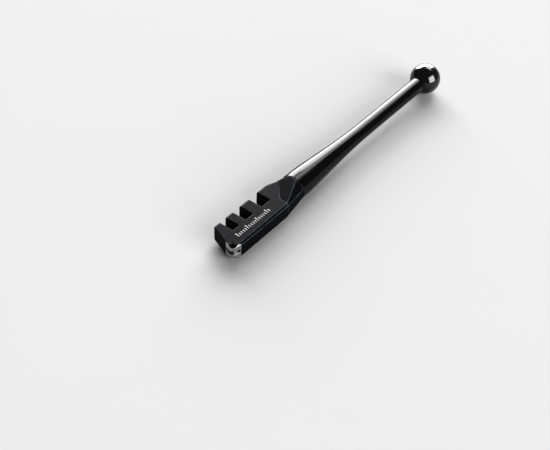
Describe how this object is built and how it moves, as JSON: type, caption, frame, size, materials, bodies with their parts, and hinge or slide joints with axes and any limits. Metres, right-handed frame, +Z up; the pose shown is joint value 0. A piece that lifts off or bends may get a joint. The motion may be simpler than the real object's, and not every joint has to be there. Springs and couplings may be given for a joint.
{
  "type": "glass cutter",
  "caption": "Hand glass cutter: a notched steel head with a free-turning cutting wheel in its nose, a tapered round handle and a ball for tapping at its end.",
  "frame": {"origin": "under the middle of the cutter's length, on its long axis, in the plane that its ball lies on", "axes": "+X along the cutter's axis from the wheel to the ball, +Y towards the notched edge of the head, +Z up through the head's broad face"},
  "size_m": [0.13, 0.0124, 0.012],
  "materials": {
    "black_lacquer": "black lacquer over cast steel, semi-gloss",
    "carbide": "ground tungsten carbide, dark grey",
    "bright_steel": "drawn bright steel",
    "gloss_black": "high-gloss black",
    "ball_black": "gloss black lacquer over steel",
    "white_ink": "white printed ink"
  },
  "bodies": {
    "cutter": {"head": "black_lacquer", "wheel_axle": "bright_steel", "handle": "gloss_black", "core_rod": "bright_steel", "tapping_ball": "ball_black", "scale_marks": "white_ink"},
    "wheel": {"cutting_wheel": "carbide"}
  },
  "joints": [
    {"name": "wheel_spin", "type": "hinge", "parent": "cutter", "child": "wheel", "pos_m": [-0.0629, -0.0038, 0.006], "axis": [0, 0, 1], "continuous": true}
  ]
}
